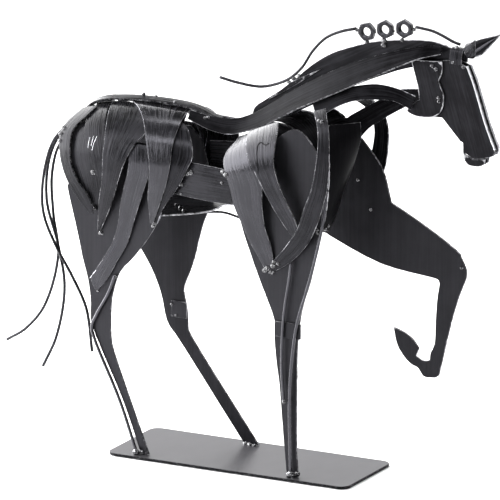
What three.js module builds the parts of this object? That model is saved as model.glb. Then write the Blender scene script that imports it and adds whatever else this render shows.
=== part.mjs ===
// A prancing horse welded from strips and plates of sheet steel, wire and hex nuts, on a flat base plate.
// Millimetres, +Z up, +X the way the horse faces, origin at the centre of the base plate's underside.
// "Right" is the horse's own right, at -Y. Neighbours that are welded together stay GAP apart.
import * as THREE from 'three';
import { mergeVertices } from 'three/addons/utils/BufferGeometryUtils.js';

// Stock
const GAP = 0.35;               // clearance between welded neighbours
const BASE_THICK = 1.6;
const LEG_THICK = 1.5;          // leg plates and the crest
const SHEET = 1.1;              // bent strips
const LAYER = SHEET + GAP;      // rise from one lapped strip to the next
const ROD_R = 1.0;              // rods along the legs
const THIN_ROD_R = 0.9;         // the shorter fore rod
const WIRE_R = 0.95;            // tail and mane wires
const THIN_WIRE_R = 0.8;

// Base plate
const BASE_LONG = 163;
const BASE_WIDE = 62;
const BASE_CORNER = 3.5;

// Legs: each is one flat plate, LEG_SIDE out from the middle plane
const LEG_SIDE = 24;
const FOOT_Z = BASE_THICK + GAP;
const LEG_FACE = LEG_SIDE + LEG_THICK / 2;

// Hips: a half barrel that the hip strips are bent around, full behind the flank and rounded at the rump
const HIP = {
  centreX: -68, rump: 58, rumpPower: 2.4, halfWide: 31.5, taper: 0.12,
  beltZ: () => 185, rise: () => 25, seamZ: 135,
};

// Shoulders: the same kind of barrel, climbing forward with the neck
const SHOULDER = {
  centreX: 36, rump: 62, rumpPower: 3, halfWide: 32.5, taper: 0,
  beltZ: (x) => 186 + 0.2 * x, rise: (x) => 19 + 0.22 * x, seamZ: 128,
};
const SEAM_SIDE = LEG_FACE + GAP;   // where a strip's end lies flat on the leg plate

// Spine, belly and flanks
const SPINE_WIDE = 10;
const SPINE_CROWN = 0.5;            // rise of the spine strip across its middle
const FLANK_HIGH = [167, 189];      // lower and upper edge of the flank bands
const FLANK_REAR_SIDE = HIP.halfWide - 5.6;         // their rear end, tucked inside the hip strips
const FLANK_FRONT_SIDE = SHOULDER.halfWide - 2.6;   // their front end, just inside the shoulder strips
const FLANK_SIDE = (FLANK_REAR_SIDE + FLANK_FRONT_SIDE) / 2;
const BELLY_HALF_WIDE = [LEG_SIDE - LEG_THICK / 2 - GAP, 15];   // between the hind legs, and at the front

// Chest and neck
const CHEST_SIDE = SEAM_SIDE + 0.3;             // the chest plate's outer edge, on the right leg plate
const NECK_CREST_SIDE = LEG_THICK / 2 + GAP + SHEET;   // the neck bands' upper edge, beside the crest plate

// Head
const HEAD_SIDE = 2.65;             // middle of a head plate, out from the middle plane
const HEAD_THICK = 1.2;
const BRIDGE_WIDE = 2 * (HEAD_SIDE - HEAD_THICK / 2 - GAP);
const CHEEK_SIDE = HEAD_SIDE + HEAD_THICK / 2 + GAP + SHEET / 2;
const THROAT_END_SIDE = CHEEK_SIDE + SHEET + 3 * GAP;   // the throat strips' front ends, outside the cheeks

// Nuts in the mane
const NUT_FLATS = 10.2;             // M6, under its paint
const NUT_HOLE_R = 3;
const NUT_HIGH = 3;
const NUTS = [
  { name: 'mane_nut_rear', x: 79.3, z: 276, roll: 15 },
  { name: 'mane_nut_middle', x: 91.6, z: 278.8, roll: 0 },
  { name: 'mane_nut_front', x: 104.4, z: 280.8, roll: 0 },
];

const horse = new THREE.Group();

// Each node gets the painted steel of its own piece.
function add(name, geometry, colour = 0x1c1b20, roughness = 0.42) {
  const paint = new THREE.MeshStandardMaterial({ color: colour, roughness, metalness: 0.6 });
  const mesh = new THREE.Mesh(geometry, paint);
  mesh.name = name;
  horse.add(mesh);
  return mesh;
}

function welded(geometry) {
  geometry.deleteAttribute('normal');
  geometry.deleteAttribute('uv');
  return mergeVertices(geometry);
}

// The same piece on the horse's other side.
function mirrored(geometry) {
  const copy = geometry.clone().scale(1, -1, 1);
  const index = copy.index.array;
  for (let i = 0; i < index.length; i += 3) [index[i], index[i + 1]] = [index[i + 1], index[i]];
  return copy;
}

// An outline in the XZ plane. A run of one point is a straight edge, a longer run a smooth curve.
function outline(start, ...runs) {
  const shape = new THREE.Shape();
  shape.moveTo(...start);
  for (const run of runs) {
    if (run.length === 1) shape.lineTo(...run[0]);
    else shape.splineThru(run.map(([x, z]) => new THREE.Vector2(x, z)));
  }
  return shape;
}

// A flat plate standing in the XZ plane, its middle at the given y.
function plate(shape, y, thick, curveSegments = 2) {
  const slab = new THREE.ExtrudeGeometry(shape, { depth: thick, bevelEnabled: false, curveSegments });
  return welded(slab.rotateX(Math.PI / 2).translate(0, y + thick / 2, 0));
}

// A round wire or rod through the given points.
function wire(points, radius, steps, sides = 6) {
  const path = new THREE.CatmullRomCurve3(points.map((p) => new THREE.Vector3(...p)), false, 'centripetal');
  const ring = new THREE.EllipseCurve(0, 0, radius, radius).getPoints(sides).slice(0, -1);
  return welded(new THREE.ExtrudeGeometry(new THREE.Shape(ring), { steps, extrudePath: path }));
}

// A flat sheet bent to place(u, v, w): u along it, v across it, w through its thickness, all 0 to 1.
function bent(along, across, place) {
  const sheet = welded(new THREE.BoxGeometry(1, 1, 1, along, across, 1));
  const spots = sheet.attributes.position;
  for (let i = 0; i < spots.count; i++) {
    const p = place(spots.getX(i) + 0.5, spots.getY(i) + 0.5, spots.getZ(i) + 0.5);
    spots.setXYZ(i, p.x, p.y, p.z);
  }
  return sheet;
}

// A strip between two smooth edges, bulging out by `bulge` across its middle.
function ribbon(edgeA, edgeB, { thick = SHEET, along = 12, across = 1, bulge = 0 } = {}) {
  const [a, b] = [edgeA, edgeB].map(
    (edge) => new THREE.CatmullRomCurve3(edge.map((p) => new THREE.Vector3(...p)), false, 'centripetal'));
  const middle = (u, v) => a.getPoint(u).lerp(b.getPoint(u), v);
  const normal = (u) => {
    const low = Math.max(u - 0.01, 0);
    const high = Math.min(u + 0.01, 1);
    const ahead = middle(high, 0.5).sub(middle(low, 0.5));
    return ahead.cross(b.getPoint(u).sub(a.getPoint(u))).normalize();
  };
  return bent(along, across, (u, v, w) => {
    const out = (w - 0.5) * thick + bulge * 4 * v * (1 - v);
    return middle(u, v).addScaledVector(normal(u), out);
  });
}

// A point on the right side of a barrel, `lift` outside it. Girth runs from 0 at the spine by 50 at the
// widest line to 100 where the barrel meets the leg plate, and on down the plate.
function onBarrel(barrel, x, girth, lift) {
  const off = (x - barrel.centreX) / (barrel.rump + lift);
  const round = off < 0 || barrel.taper === 0
    ? (1 - Math.min(Math.abs(off), 0.999) ** barrel.rumpPower) ** (1 / barrel.rumpPower)
    : 1 - barrel.taper * off ** 2;
  const wide = (barrel.halfWide + lift) * round;
  const belt = barrel.beltZ(x);
  if (girth < 50) {
    const turn = Math.PI * girth / 100;
    const high = (barrel.rise(x) + lift) * round;
    return new THREE.Vector3(x, -wide * Math.sin(turn), belt + high * Math.cos(turn));
  }
  const down = (girth - 50) / 50;
  const ease = (1 - Math.cos(Math.PI * Math.min(down, 1))) / 2;
  return new THREE.Vector3(x, -wide + (wide - SEAM_SIDE - lift) * ease, belt + (barrel.seamZ - belt) * down);
}

// A tapered strip bent around a barrel. Each row is [girth, rear edge x, front edge x]; the layers, evenly
// spread along it, say how many lapped strips lie under it there.
function barrelStrip(barrel, rows, layers, { along = 12, across = 2 } = {}) {
  const run = new THREE.CatmullRomCurve3(rows.map((row) => new THREE.Vector3(...row)), false, 'centripetal');
  const layerAt = (u) => {
    const step = Math.min(Math.floor(u * (layers.length - 1)), layers.length - 2);
    return THREE.MathUtils.lerp(layers[step], layers[step + 1], u * (layers.length - 1) - step);
  };
  return bent(along, across, (u, v, w) => {
    const { x: girth, y: rear, z: front } = run.getPoint(u);
    const lift = layerAt(u) * LAYER + w * SHEET;
    return onBarrel(barrel, rear + (front - rear) * v, girth, lift);
  });
}

// Base plate
const halfLong = BASE_LONG / 2;
const halfWide = BASE_WIDE / 2;
const baseShape = new THREE.Shape();
baseShape.moveTo(halfLong, halfWide - BASE_CORNER);
baseShape.absarc(halfLong - BASE_CORNER, halfWide - BASE_CORNER, BASE_CORNER, 0, Math.PI / 2);
baseShape.absarc(BASE_CORNER - halfLong, halfWide - BASE_CORNER, BASE_CORNER, Math.PI / 2, Math.PI);
baseShape.absarc(BASE_CORNER - halfLong, BASE_CORNER - halfWide, BASE_CORNER, Math.PI, 1.5 * Math.PI);
baseShape.absarc(halfLong - BASE_CORNER, BASE_CORNER - halfWide, BASE_CORNER, 1.5 * Math.PI, 2 * Math.PI);
add('base_plate', welded(new THREE.ExtrudeGeometry(
  baseShape, { depth: BASE_THICK, bevelEnabled: false, curveSegments: 6 })), 0x2c2b30, 0.35);

// Hind legs
const hindTop = [[-92, 190], [-84, 196], [-52, 196], [-44, 188], [-43, 172]];
add('hind_leg_right', plate(outline(
  [-60.7, FOOT_Z],
  [[-73, 34]], [[-94.3, 79]],
  [[-94.8, 86], [-94.8, 93.5], [-96.5, 106], [-100.6, 121], [-104.6, 139], [-109, 156], [-110.5, 163]],
  [[-104, 176]], [hindTop[0]], [hindTop[1]], [hindTop[2]], [hindTop[3]], [hindTop[4]],
  [[-47.5, 151]],
  [[-55, 138], [-66, 123.5], [-74.8, 113.5], [-79.3, 101], [-80.9, 90], [-80.9, 72], [-79, 63]],
  [[-55.2, FOOT_Z]],
), -LEG_SIDE, LEG_THICK));
add('hind_leg_left', plate(outline(
  [-15.6, FOOT_Z],
  [[-62.7, 64.7]],
  [[-66.5, 69], [-69.3, 75], [-72.2, 88], [-77.7, 101.4], [-85.8, 114.6], [-97, 130], [-108, 158]],
  [[-104, 176]], [hindTop[0]], [hindTop[1]], [hindTop[2]], [hindTop[3]], [[-40, 172]], [[-37, 151]],
  [[-40.4, 143.5], [-44.5, 133], [-49.9, 112.4], [-54.6, 100], [-56.8, 93], [-54.6, 80.7]],
  [[-53.9, 68]], [[-50.5, 62.5]], [[-5.6, FOOT_Z]],
), LEG_SIDE, LEG_THICK));

// The rod that runs down the right thigh, around the hock and behind the cannon to the foot
const HIND_ROD_Y = -(LEG_FACE + GAP + ROD_R);
add('hind_rod_right', wire([
  [-77.4, 111.5], [-82.2, 99.4], [-89.5, 86.5], [-93.3, 77.5], [-91.6, 70.6], [-74.2, 33.6],
  [-62.9, FOOT_Z + ROD_R],
].map(([x, z]) => [x, HIND_ROD_Y, z]), ROD_R, 20));

// A small patch on the inner face of the left hock
const HOCK_TAB = { x: -59.4, z: 80.6, wide: 10.6, high: 10 };
add('hock_tab_left', welded(new THREE.BoxGeometry(HOCK_TAB.wide, SHEET, HOCK_TAB.high)
  .translate(HOCK_TAB.x, LEG_SIDE - LEG_THICK / 2 - GAP - SHEET / 2, HOCK_TAB.z)));

// Fore legs: the right one stands, the left one is raised with its hoof curled back
add('fore_leg_right', plate(outline(
  [38.6, FOOT_Z],
  [[36.3, 26], [33.6, 57], [31.4, 72.4], [30.2, 86.6], [30.2, 97]],
  [[23.4, 113.7], [16.7, 129.7], [9.9, 147.5], [6, 160]],
  [[8, 172]], [[13, 182]],
  [[17, 191], [24, 201], [33, 211], [43, 217], [51, 213.5], [58.5, 204]],
  [[61.3, 190]], [[61.3, 156]],
  [[54.6, 125], [50.3, 112], [47.2, 98], [45.5, 82], [45.1, 62], [45.1, 18]],
  [[46, FOOT_Z]],
), -LEG_SIDE, LEG_THICK));
add('fore_leg_left', plate(outline(
  [34, 143],
  [[38, 165]], [[44, 195]], [[56, 203]], [[63.3, 203]], [[77.5, 185.7]], [[82.5, 169]],
  [[83.6, 165.3]], [[86, 164.2]], [[110, 151.8]],
  [[128.4, 140.7], [130.5, 137.5], [134, 130.5], [134.3, 125.5]],
  [[128.7, 110.8], [123.9, 94.6], [116, 62]],
  [[114, 60.5]], [[108.7, 60]], [[105.7, 60.6], [102.1, 65.1], [98.5, 66.4]],
  [[93.6, 70], [88.2, 77.7], [85.7, 88.2]],
  [[92.4, 86], [98.5, 82.3], [102.6, 77]],
  [[100.5, 72.3]], [[103.3, 70.5], [106.9, 69.9], [110, 71]],
  [[110.6, 75.6]], [[113.3, 82], [113.8, 91.2], [114.8, 108], [116.4, 119]],
  [[115.5, 121.5], [110.5, 122.6], [91, 125], [77, 126.8]],
  [[57.2, 134.3]],
), LEG_SIDE, LEG_THICK));

// A band across the right knee, and the two rods laid down the outside of that leg
const KNEE = { x: [30.8, 48.4], z: [87.8, 97.3] };
const KNEE_Y = -(LEG_FACE + GAP + SHEET / 2);
add('knee_band_right', welded(new THREE.BoxGeometry(KNEE.x[1] - KNEE.x[0], SHEET, KNEE.z[1] - KNEE.z[0])
  .translate((KNEE.x[0] + KNEE.x[1]) / 2, KNEE_Y, (KNEE.z[0] + KNEE.z[1]) / 2)));
const FORE_ROD_Y = KNEE_Y - SHEET / 2 - GAP - ROD_R;
add('fore_rod_rear', wire([[42.6, 135], [41.8, 127], [39.2, 111.5], [37.2, 94], [36.5, 70], [37.9, 47.8]]
  .map(([x, z]) => [x, FORE_ROD_Y, z]), THIN_ROD_R, 12));
add('fore_rod_front', wire([[66.6, 184], [65, 167.8], [59.6, 142.2], [52.5, 117], [47, 99], [43.3, 74.7],
  [41.7, 48], [42.6, FOOT_Z + ROD_R]].map(([x, z]) => [x, FORE_ROD_Y, z]), ROD_R, 18));

// Trunk between hips and shoulders
const flank = ribbon(
  [[-40, -FLANK_REAR_SIDE, FLANK_HIGH[1] - 1], [-22, -FLANK_SIDE, FLANK_HIGH[1]],
    [2, -FLANK_FRONT_SIDE, FLANK_HIGH[1] - 1]],
  [[-40, -FLANK_REAR_SIDE, FLANK_HIGH[0] + 1], [-20, -FLANK_SIDE, FLANK_HIGH[0]],
    [5, -FLANK_FRONT_SIDE, FLANK_HIGH[0]]],
  { along: 6, across: 2, bulge: -0.8 });
add('flank_band_right', flank);
add('flank_band_left', mirrored(flank));
const bellyRun = [[-62, 151.5, 0], [-45, 152.4, 0], [-18, 156.6, 1], [-8, 161.5, 1], [4, 162.5, 1]];
const bellyEdge = (side) => bellyRun.map(([x, z, end]) => [x, side * BELLY_HALF_WIDE[end], z]);
add('belly_band', ribbon(bellyEdge(-1), bellyEdge(1), { along: 8, across: 1 }));
add('belly_wire', wire(
  [[-44, -5, 150.3], [-23, -5, 152.9], [-14, -6, 154], [6, -14, 153.5]], THIN_WIRE_R, 8));
const spineRun = [[-115.5, 183], [-114.4, 193], [-111, 203], [-104.5, 210.5], [-96.5, 214.2], [-87, 216.2],
  [-74, 217.2], [-50, 217.2], [-36, 215.4], [-28, 212.3], [-19, 208.6]];
const spineEdge = (side) => spineRun.map(([x, z]) => [x, side * SPINE_WIDE / 2, z]);
add('spine_strip', ribbon(spineEdge(-1), spineEdge(1), { along: 20, across: 2, bulge: SPINE_CROWN }));

// Hip strips: the rump curl, the backing plate and five tapered strips on each side. The long third is cut
// short on the left, where the leg below it is set further forward.
const HIP_STRIPS = [
  { name: 'rump_strip', layers: [2, 1.4],
    rows: [[9, -108, -98], [19, -112.3, -100], [31, -116.3, -106], [44, -116, -106], [56, -114.2, -105],
      [65, -110, -101], [75, -103, -93], [86, -93, -90]] },
  { name: 'hip_backing_plate', layers: [0, 0],
    rows: [[8, -106, -88], [30, -108, -86], [50, -108, -84], [65, -103, -82], [80, -97, -84]] },
  { name: 'hip_strip_1', layers: [1, 1],
    rows: [[4, -104, -93], [17, -101, -88], [31, -98, -83], [41, -94, -79], [50, -90, -79], [61, -86, -81]] },
  { name: 'hip_strip_2', layers: [2, 2, 2, 2, 2, 1.9, 1.2, 0.5],
    rows: [[3, -91, -60], [18, -86, -54], [28, -83, -56], [38, -81, -61], [50, -81, -66], [63, -82, -71],
      [77, -86, -77], [97, -89, -87]] },
  { name: 'hip_strip_3', layers: [1, 0], leftRows: 6,
    rows: [[36, -64, -52], [53, -64, -50], [66, -68, -54.5], [79, -72, -60], [92, -75, -65], [103, -79, -69],
      [115, -86, -76], [127, -93.5, -83], [134, -91, -89]] },
  { name: 'hip_strip_4', layers: [3, 3, 3, 2.7, 2.3, 1.8, 1.3, 1], leftShift: [-2, 0],
    rows: [[2.5, -78, -37.8], [11, -68, -37.4], [22, -59, -36], [34, -53, -35.5], [48, -49, -35.5],
      [60, -50, -38.5], [72, -52, -43.5], [87, -52, -50]] },
  { name: 'hip_strip_5', layers: [1.5, 1.5, 1, 0.5, 0],
    rows: [[16, -50, -36], [20, -48, -31], [31, -46, -24.5], [40, -45, -22.5], [50, -46, -25.5],
      [62, -49, -32], [76, -50.5, -42.5], [87, -51, -48]] },
];

// A strip on both sides. With leftRows it is cut short on the left, and leftShift moves its left edges in x.
function strips(barrel, { name, rows, layers, leftRows = rows.length, leftShift = [0, 0] }) {
  const left = rows.slice(0, leftRows)
    .map(([girth, rear, front]) => [girth, rear + leftShift[0], front + leftShift[1]]);
  add(`${name}_right`, barrelStrip(barrel, rows, layers));
  add(`${name}_left`, mirrored(barrelStrip(barrel, left, layers)));
}
HIP_STRIPS.forEach((strip) => strips(HIP, strip));

// Shoulder strips; the left front one is a little further forward, wider and shorter
const SHOULDER_STRIPS = [
  { name: 'shoulder_strip_1', layers: [1, 0],
    rows: [[13, 0, 9], [19, 0, 10], [27, -2, 13], [36, -2, 17], [49, 1, 22], [58, 4, 26], [67, 6, 25.5],
      [78, 11, 26], [88, 16, 29], [99, 24, 31]] },
  { name: 'shoulder_strip_2', layers: [2, 0.6],
    rows: [[14, 8, 28], [24, 11, 32], [35, 15, 34], [46, 20, 35], [56, 26, 38], [66, 32, 43], [76, 39, 48],
      [84, 46, 49]] },
  { name: 'shoulder_strip_3', layers: [3, 1.6], leftRows: 8, leftShift: [2.6, 5],
    rows: [[16, 53, 61], [25, 59, 66], [34, 63, 70], [46, 64, 72], [58, 61, 71], [68, 55, 67], [78, 49, 61],
      [86, 41, 54], [94, 32, 43], [99, 28, 33]] },
];
SHOULDER_STRIPS.forEach((strip) => strips(SHOULDER, strip));

// Chest plate, from behind the right front strip round to its free edge near the middle
add('chest_plate', ribbon(
  [[62.8, -CHEST_SIDE, 158.5], [64.5, -CHEST_SIDE, 166], [66.5, -CHEST_SIDE, 180],
    [67.5, -CHEST_SIDE - 0.2, 196], [66, -LEG_SIDE, 211], [63.5, -20, 221]],
  [[56.5, -9, 153], [62.5, -8, 164], [68, -8, 180], [74.3, -8, 195.4], [79, -8, 212], [79, -8, 222]],
  { along: 8, across: 4, bulge: -2.5 }));

// Neck: a band on each side leaning in to the crest plate, the left one lower where it leaves the spine
const neckBand = (sag) => ribbon(
  [[-36.2, -10, 210.2], [-21, -10.5, 205.4], [-7.6, -11, 204.5], [13.8, -12, 212], [39.8, -13, 226.5],
    [66.9, -12.5, 240.2], [96.7, -10, 255.5], [118, -8, 265.6], [131, -5.4, 269.4]],
  [[-36.2, -6, 214.6 - sag], [-22, -6, 213 - sag], [-7, -5.5, 213 - sag], [5, -4, 217.3 - sag / 2],
    [28.9, -NECK_CREST_SIDE, 233], [55.5, -NECK_CREST_SIDE, 248.5], [88, -NECK_CREST_SIDE, 263],
    [121, -NECK_CREST_SIDE, 272.5], [131, -NECK_CREST_SIDE, 273.4]],
  { along: 16, across: 1 });
add('neck_band_right', neckBand(0));
add('neck_band_left', mirrored(neckBand(2.5)));
add('crest_plate', plate(outline(
  [2, 213.5],
  [[4.5, 220.6], [11.5, 226], [28, 238], [41.3, 250], [55, 259.4], [68.4, 265], [82, 269.8], [102, 273.6],
    [122.7, 275.2], [136.5, 272.6]],
  [[136.5, 262]],
  [[110, 258], [80, 246], [52, 231.5], [30, 219.5], [10, 211]],
), 0, LEG_THICK));
add('crest_strip', plate(outline(
  [14, 226.5], [[29.5, 239.5]], [[49.5, 249.8]], [[33, 238.2]],
), -(LEG_THICK / 2 + GAP + SHEET / 2), SHEET));

// Throat strips
add('throat_strip_right', ribbon(
  [[51, -10, 221], [59, -10.4, 226.5], [67, -10.4, 231.5], [77, -10.4, 235.5], [93, -10, 238],
    [103, -9.2, 238], [112, -THROAT_END_SIDE, 233.5]],
  [[47, -8, 230], [55, -8, 235], [63, -8, 239.5], [74, -8, 243.5], [90, -8.4, 247],
    [103, -8, 246], [115, -THROAT_END_SIDE, 242]], { along: 12 }));
add('throat_strip_left', ribbon(
  [[41, 12, 219], [53, 10.5, 222.5], [59.4, 10, 218], [64.5, 10, 221], [74, 10, 227], [84, 10, 233],
    [96, 9.4, 240], [110, THROAT_END_SIDE, 243]],
  [[54, 13, 193], [68, 10, 205], [75.4, 10, 213.4], [85, 10, 220.4], [97, 9.4, 228], [107, 8.6, 233.5],
    [113, THROAT_END_SIDE, 235]],
  { along: 10 }));

// Head: two flat sides, a bridge strip between them down the front, cheek plates, poll saddle and ears
const headSide = outline(
  [124.8, 264.3], [[137.8, 265.8]], [[147.1, 263.3]],
  [[151.2, 253.9], [155.3, 242], [159.3, 230], [163.4, 220], [166, 214.3]],
  [[165.6, 210.8]], [[159.8, 208.8]], [[151.8, 207.6]], [[146.6, 210.3]], [[146.4, 209.5]], [[151.6, 206.7]],
  [[159.8, 207.9]], [[159.3, 204.9]],
  [[156.3, 203.2], [151.2, 202.9], [147.4, 204.1], [145.4, 208.8], [145.1, 216.5]],
  [[143, 217.4]], [[131.3, 230.2]], [[124.8, 229.9]],
);
add('head_side_right', plate(headSide, -HEAD_SIDE, HEAD_THICK));
add('head_side_left', plate(headSide, HEAD_SIDE, HEAD_THICK));
const bridgeRun = [[146, 262.9], [150.3, 252.9],
  [154.4, 241], [158.4, 229.2], [162.6, 218.9], [165.2, 211.8]];
const bridgeEdge = (side) => bridgeRun.map(([x, z]) => [x, side * BRIDGE_WIDE / 2, z]);
add('bridge_strip', ribbon(bridgeEdge(-1), bridgeEdge(1), { along: 8, across: 2, bulge: 0.4 }));
const cheek = outline(
  [110.8, 263.8], [[113.4, 255.8], [115.6, 247.3], [116.8, 239.8]], [[109.8, 234.8]],
  [[108.3, 231.8], [113.8, 229.6], [121.8, 229.3], [128.8, 231.9], [132.4, 237.3], [132.8, 244.6]],
  [[129.4, 252.7]], [[131.8, 258.3]], [[131.8, 264.8]],
);
add('cheek_plate_right', plate(cheek, -CHEEK_SIDE, SHEET));
add('cheek_plate_left', plate(cheek, CHEEK_SIDE, SHEET));
const POLL = { rear: 136.6, front: 144.4, side: CHEEK_SIDE, low: 264.2, top: 273.2 };
const pollEdge = (x) => [[-1, 0], [-0.97, 0.55], [-0.6, 0.92], [0, 1], [0.6, 0.92], [0.97, 0.55], [1, 0]]
  .map(([side, up]) => [x, side * POLL.side, POLL.low + (POLL.top - POLL.low) * up]);
add('poll_saddle', ribbon(pollEdge(POLL.front), pollEdge(POLL.rear), { along: 12 }));

// An ear is a cupped leaf that points forward, up and out. The left one is laid a little lower.
const EAR = { wide: 9, thick: 0.9, cup: 0.45, across: [0.62, 0.12, -0.77] };
const EAR_ROOT = [POLL.front + 2.4, -HEAD_SIDE - 0.2, 270];
function ear(tip) {
  const axis = new THREE.Line3(new THREE.Vector3(...EAR_ROOT), new THREE.Vector3(...tip));
  const across = new THREE.Vector3(...EAR.across).normalize();
  const hollow = axis.delta(new THREE.Vector3()).normalize().cross(across).normalize();
  return bent(10, 4, (u, v, w) => {
    const half = EAR.wide / 2 * Math.max(Math.sin(Math.PI * u ** 0.42), 0.06 + 0.5 * (1 - u) ** 6);
    const side = 2 * v - 1;
    return axis.at(u, new THREE.Vector3())
      .addScaledVector(across, side * half)
      .addScaledVector(hollow, (w - 0.5) * EAR.thick + EAR.cup * half * side ** 2);
  });
}
add('ear_right', ear([160, -17, 284.3]));
add('ear_left', mirrored(ear([159.8, -17, 280])));

// Mane: two wires and three nuts over the crest
add('mane_wire_rear', wire([
  [-19.7, 0, 235.8], [-8, 0, 234], [8, 0, 233.4], [19.7, 0, 236.8], [27.8, 0, 241.2], [35.9, 0, 248.9],
  [42.7, 0, 259.4], [51.5, 0, 268.6], [61, 0, 273.6], [72, 0, 277],
], WIRE_R, 22));
add('mane_wire_front', wire([
  [111.8, 0, 282.7], [123.3, 0, 281.5], [131, 0, 279], [137, 0, 276.6], [141.4, 0, 275.6],
], WIRE_R, 8));
for (const { name, x, z, roll } of NUTS) {
  const hex = new THREE.Shape(new THREE.EllipseCurve(0, 0, NUT_FLATS / Math.sqrt(3), NUT_FLATS / Math.sqrt(3))
    .getPoints(6).slice(0, -1));
  hex.holes.push(new THREE.Path().absarc(0, 0, NUT_HOLE_R, 0, 2 * Math.PI, true));
  const slab = new THREE.ExtrudeGeometry(hex, { depth: NUT_HIGH, bevelEnabled: false, curveSegments: 12 });
  const nut = add(name, welded(slab.rotateX(Math.PI / 2).translate(0, NUT_HIGH / 2, 0)));
  nut.position.set(x, 0, z);
  nut.rotation.y = THREE.MathUtils.degToRad(roll);
}

// Tail: three wires that leave the rump side by side, cross and splay out
const TAIL_STEP = 2 * WIRE_R + 2 * GAP;
const TAIL_WIRES = [
  { side: -TAIL_STEP, run: [[-115.5, 198], [-126.8, 189.6], [-133.6, 179.6], [-139.3, 156.4], [-138.8, 136.6],
    [-130.2, 117.1], [-119.3, 99.8], [-109.8, 81.1], [-105.8, 54.3]] },
  { side: 0, run: [[-116.4, 194.5], [-128.6, 186.4], [-136, 171], [-138, 144.4], [-130.4, 117.9],
    [-126, 91.7], [-131.5, 60.5], [-141, 39.9]] },
  { side: TAIL_STEP, run: [[-117, 191], [-130, 180.5], [-135.7, 161], [-134.9, 135.6], [-131.7, 111],
    [-140.9, 78.1], [-154.1, 61.4], [-167.3, 52.5]] },
];
TAIL_WIRES.forEach(({ side, run }, i) => {
  add(`tail_wire_${i + 1}`, wire(run.map(([x, z]) => [x, side, z]), WIRE_R, 20));
});

export default horse;
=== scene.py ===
"""A prancing horse welded from bent steel strips, leg plates, wire and nuts, painted black, on a base plate.

Sizes in the tables are millimetres, with +Z up and +X the way the horse faces. Its right side, at -Y, is the
near one.
"""

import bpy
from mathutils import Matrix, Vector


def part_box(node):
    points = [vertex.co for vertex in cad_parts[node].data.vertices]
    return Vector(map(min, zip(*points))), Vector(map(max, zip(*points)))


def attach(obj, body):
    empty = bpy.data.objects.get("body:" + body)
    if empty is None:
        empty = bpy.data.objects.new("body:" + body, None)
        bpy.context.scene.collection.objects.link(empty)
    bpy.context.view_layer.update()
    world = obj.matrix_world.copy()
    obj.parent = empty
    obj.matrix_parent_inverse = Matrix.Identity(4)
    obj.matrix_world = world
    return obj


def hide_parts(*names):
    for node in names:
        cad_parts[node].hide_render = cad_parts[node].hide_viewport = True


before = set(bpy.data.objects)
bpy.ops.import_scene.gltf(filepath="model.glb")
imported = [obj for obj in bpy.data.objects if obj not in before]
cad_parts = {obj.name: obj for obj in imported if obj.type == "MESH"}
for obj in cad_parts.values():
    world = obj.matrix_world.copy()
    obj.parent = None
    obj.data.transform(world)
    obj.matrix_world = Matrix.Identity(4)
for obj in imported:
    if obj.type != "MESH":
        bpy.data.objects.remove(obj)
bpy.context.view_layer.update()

import math

import bmesh
import bpy
from mathutils import Matrix, Vector, noise
from mathutils.bvhtree import BVHTree

bl_info = {
    "name": "Welded Strip Horse",
    "version": (1, 0, 0),
    "blender": (4, 5, 0),
    "location": "View3D > Sidebar > Horse",
    "description": "Builds a prancing horse of welded steel strips on a base plate, with its studio",
    "category": "Add Mesh",
}

MM = 0.001

# The photo's camera: turned from the horse's right side toward its head, tilted up, and aimed at a point
CAMERA_TURN = math.radians(27.7)
CAMERA_TILT = math.radians(15.5)
CAMERA_AIM = Vector((0.68, 0, 131.05)) * MM
VIEW_WIDTH = 0.3
SENSOR = 36
PHOTO_PIXELS = 500

GAP = 0.35
BASE_THICK = 1.6
BASE_CORNER = 6.5
SHEET = 1.1
LEG_THICK = 1.5
BELLY_WIRE_RADIUS = 0.8
LAYER = SHEET + GAP
LEG_SIDE = 24.0
LEG_FACE = LEG_SIDE + LEG_THICK / 2
SEAM_SIDE = LEG_FACE + GAP
HEAD_SIDE = 2.65
HEAD_THICK = 1.2
CHEEK_SIDE = HEAD_SIDE + HEAD_THICK / 2 + GAP + SHEET / 2
THROAT_END = CHEEK_SIDE + SHEET + 3 * GAP
SIDES = (("right", 1), ("left", -1))

HIP = {"centre": -68, "rump": 58, "power": 2.4, "wide": 31.5, "taper": 0.12, "seam": 135,
       "belt": lambda x: 185, "rise": lambda x: 25}
SHOULDER = {"centre": 36, "rump": 62, "power": 3, "wide": 32.5, "taper": 0, "seam": 128,
            "belt": lambda x: 186 + 0.2 * x, "rise": lambda x: 19 + 0.22 * x}

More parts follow.
